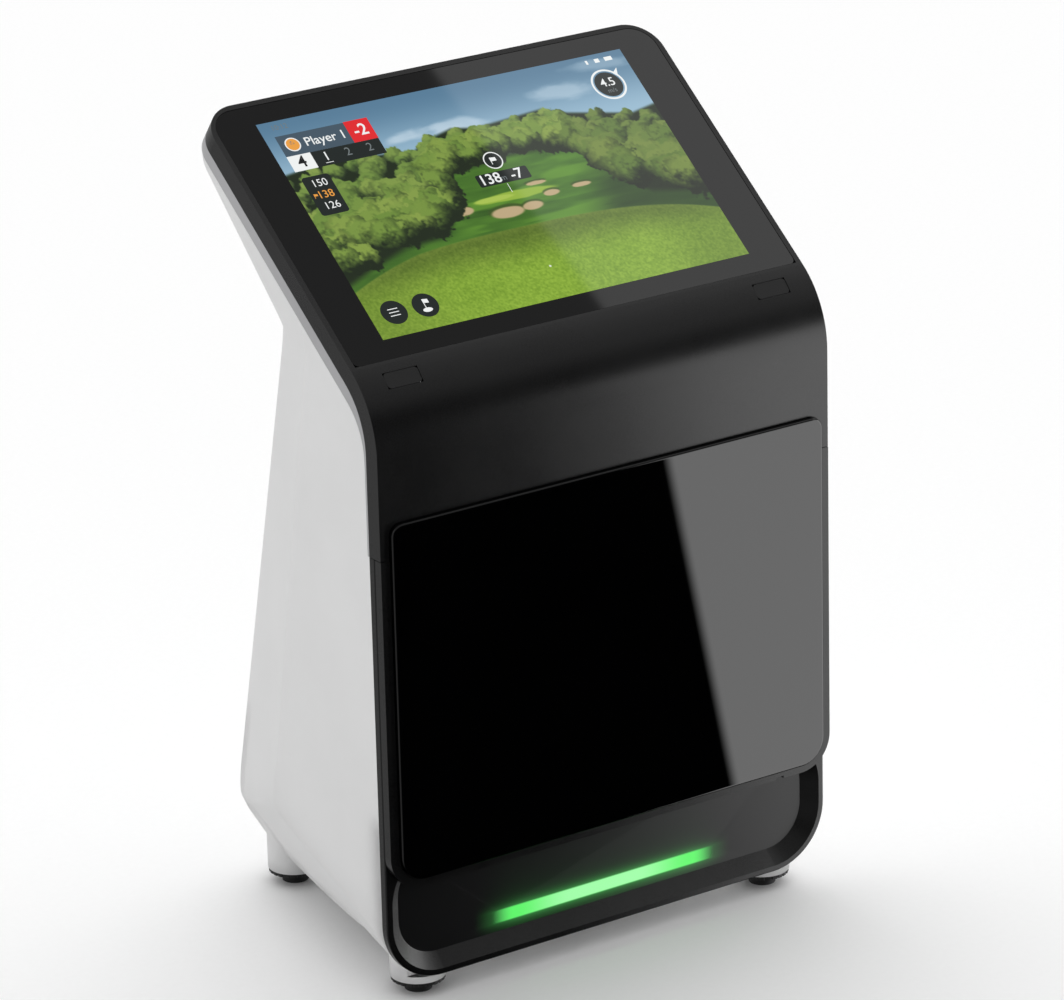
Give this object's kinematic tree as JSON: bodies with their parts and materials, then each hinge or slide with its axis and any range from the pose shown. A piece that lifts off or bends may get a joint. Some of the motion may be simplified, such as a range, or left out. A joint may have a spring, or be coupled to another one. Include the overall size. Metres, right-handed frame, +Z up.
{
  "type": "golf launch monitor",
  "caption": "Free-standing launch monitor: tilted touch display over a dark camera window, lit bar below, white rear shell, levelling feet.",
  "frame": {"origin": "centre of the object's footprint, on the floor under the feet pads", "axes": "+Z up, +X to the right and +Y to the back, seen from the front; the camera window faces -Y"},
  "size_m": [0.267, 0.2012, 0.425],
  "materials": {
    "black_trim": "satin black moulded plastic",
    "dark_panel": "matt charcoal moulded plastic",
    "cover_glass": "black-printed cover glass",
    "display_panel": "lit display panel",
    "sheet_metal": "bare sheet aluminium",
    "steel": "zinc-plated steel",
    "soft_plug": "soft black plug",
    "sensor_window": "polished infrared-clear black",
    "gasket": "closed-cell foam",
    "light_bar": "translucent diffuser, lit green",
    "circuit_board": "green solder mask",
    "grey_frame": "satin grey moulded plastic",
    "white_shell": "satin white moulded plastic",
    "brass_insert": "turned brass",
    "connector_metal": "nickel-plated shells",
    "button_grey": "satin grey button cap",
    "heat_sink": "anodised aluminium",
    "fan_black": "moulded impeller",
    "battery_wrap": "shrink-wrapped cells",
    "speaker_black": "matt moulded housing",
    "antenna": "copper-clad laminate",
    "camera_body": "black anodised housing",
    "lens": "coated lens in a black barrel",
    "wheel_black": "knurled thumb wheel",
    "pad_rubber": "anti-slip rubber"
  },
  "bodies": {
    "housing": {"antenna_left": "antenna", "antenna_right": "antenna", "base_cover": "white_shell", "base_screws": "steel", "battery_bracket": "sheet_metal", "battery_pack": "battery_wrap", "battery_screws": "steel", "board_screws": "steel", "camera_center_body": "camera_body", "camera_center_lens": "lens", "camera_left_body": "camera_body", "camera_left_lens": "lens", "camera_right_body": "camera_body", "camera_right_lens": "lens", "chassis": "sheet_metal", "chassis_screws": "steel", "chin_panel": "dark_panel", "display_bracket": "sheet_metal", "display_cover_glass": "cover_glass", "display_panel": "display_panel", "display_screws": "steel", "fan_housing": "dark_panel", "fascia_plug_left": "soft_plug", "fascia_plug_right": "soft_plug", "foot_nuts": "brass_insert", "heat_sink": "heat_sink", "ir_array_left": "circuit_board", "ir_array_right": "circuit_board", "led_board": "circuit_board", "led_light_bar": "light_bar", "lower_frame": "black_trim", "mainboard": "circuit_board", "mid_frame": "grey_frame", "port_board": "circuit_board", "port_connectors": "connector_metal", "port_tray": "dark_panel", "power_button_board": "circuit_board", "rear_shell": "white_shell", "sensor_window": "sensor_window", "speaker_left": "speaker_black", "speaker_right": "speaker_black", "upper_fascia": "black_trim", "window_frame": "black_trim", "window_gasket": "gasket"},
    "front_left_pad": {"foot_front_left_pad": "pad_rubber"},
    "front_left_screw": {"foot_front_left_stud": "steel", "foot_front_left_wheel": "wheel_black"},
    "front_right_pad": {"foot_front_right_pad": "pad_rubber"},
    "front_right_screw": {"foot_front_right_stud": "steel", "foot_front_right_wheel": "wheel_black"},
    "rear_left_pad": {"foot_rear_left_pad": "pad_rubber"},
    "rear_left_screw": {"foot_rear_left_stud": "steel", "foot_rear_left_wheel": "wheel_black"},
    "rear_right_pad": {"foot_rear_right_pad": "pad_rubber"},
    "rear_right_screw": {"foot_rear_right_stud": "steel", "foot_rear_right_wheel": "wheel_black"},
    "fan": {"fan_impeller": "fan_black"},
    "button": {"power_button": "button_grey"}
  },
  "joints": [
    {"name": "foot_front_left_lift", "type": "slide", "parent": "housing", "child": "front_left_pad", "axis": [0, 0, -1], "range_m": [0, 0.006]},
    {"name": "foot_front_left_turn", "type": "hinge", "parent": "front_left_pad", "child": "front_left_screw", "pos_m": [-0.106, -0.07604, 0.0065], "axis": [0, 0, -1], "range_deg": [0, 1728]},
    {"name": "foot_front_right_lift", "type": "slide", "parent": "housing", "child": "front_right_pad", "axis": [0, 0, -1], "range_m": [0, 0.006]},
    {"name": "foot_front_right_turn", "type": "hinge", "parent": "front_right_pad", "child": "front_right_screw", "pos_m": [0.106, -0.07604, 0.0065], "axis": [0, 0, -1], "range_deg": [0, 1728]},
    {"name": "foot_rear_left_lift", "type": "slide", "parent": "housing", "child": "rear_left_pad", "axis": [0, 0, -1], "range_m": [0, 0.006]},
    {"name": "foot_rear_left_turn", "type": "hinge", "parent": "rear_left_pad", "child": "rear_left_screw", "pos_m": [-0.083, 0.07336, 0.0065], "axis": [0, 0, -1], "range_deg": [0, 1728]},
    {"name": "foot_rear_right_lift", "type": "slide", "parent": "housing", "child": "rear_right_pad", "axis": [0, 0, -1], "range_m": [0, 0.006]},
    {"name": "foot_rear_right_turn", "type": "hinge", "parent": "rear_right_pad", "child": "rear_right_screw", "pos_m": [0.083, 0.07336, 0.0065], "axis": [0, 0, -1], "range_deg": [0, 1728]},
    {"name": "fan_spin", "type": "hinge", "parent": "housing", "child": "fan", "pos_m": [0.046, -0.03064, 0.215], "axis": [0, 1, 0], "continuous": true},
    {"name": "power_button_press", "type": "slide", "parent": "housing", "child": "button", "axis": [0, -1, 0], "range_m": [0, 0.001], "stiffness_N_per_m": 600, "springref_m": -0.0005}
  ],
  "couplings": [
    {"joint": "foot_front_left_turn", "follows": "foot_front_left_lift", "rad_per_m": 5026.5},
    {"joint": "foot_front_right_turn", "follows": "foot_front_right_lift", "rad_per_m": 5026.5},
    {"joint": "foot_rear_left_turn", "follows": "foot_rear_left_lift", "rad_per_m": 5026.5},
    {"joint": "foot_rear_right_turn", "follows": "foot_rear_right_lift", "rad_per_m": 5026.5}
  ]
}
